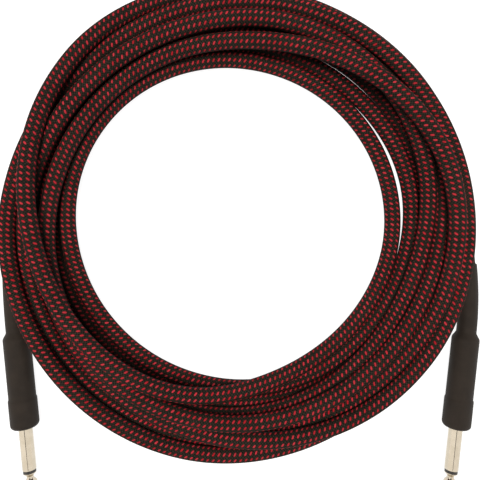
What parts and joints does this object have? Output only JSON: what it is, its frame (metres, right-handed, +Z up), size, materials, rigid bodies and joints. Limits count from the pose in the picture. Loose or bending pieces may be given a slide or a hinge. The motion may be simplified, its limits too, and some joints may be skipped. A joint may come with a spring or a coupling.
{
  "type": "instrument cable",
  "caption": "Coiled instrument cable with a woven jacket and a straight quarter-inch phone plug on each end.",
  "frame": {"origin": "on the surface that the cable lies on, under the middle of its coil", "axes": "+Z up from that surface, -Y the way the two plugs point, +X from the left plug to the right one"},
  "size_m": [0.2325, 0.2486, 0.0334],
  "materials": {
    "contact": "nickel plate",
    "ring": "moulded",
    "insulator": "moulded",
    "lug": "tinned",
    "barrel": "drawn tube",
    "liner": "rolled sheet",
    "boot": "fine matte texture",
    "jacket": "woven, with coloured flecks",
    "copper": "stranded copper",
    "core": "extruded",
    "solder": "solder"
  },
  "bodies": {
    "root": {"right_tip_contact": "contact", "right_insulator_ring": "ring", "right_insulating_tube": "insulator", "right_shaft": "contact", "right_ground_lug": "lug", "right_rear_washer": "insulator", "right_tip_lug": "lug", "right_barrel": "barrel", "right_liner": "liner", "right_boot": "boot", "right_jacket_end": "jacket", "right_shield_braid": "copper", "right_core": "core", "right_conductor": "copper", "right_tip_solder": "solder", "right_ground_solder": "solder", "left_tip_contact": "contact", "left_insulator_ring": "ring", "left_insulating_tube": "insulator", "left_shaft": "contact", "left_ground_lug": "lug", "left_rear_washer": "insulator", "left_tip_lug": "lug", "left_barrel": "barrel", "left_liner": "liner", "left_boot": "boot", "left_jacket_end": "jacket", "left_shield_braid": "copper", "left_core": "core", "left_conductor": "copper", "left_tip_solder": "solder", "left_ground_solder": "solder", "cable_coil": "jacket"}
  },
  "joints": []
}
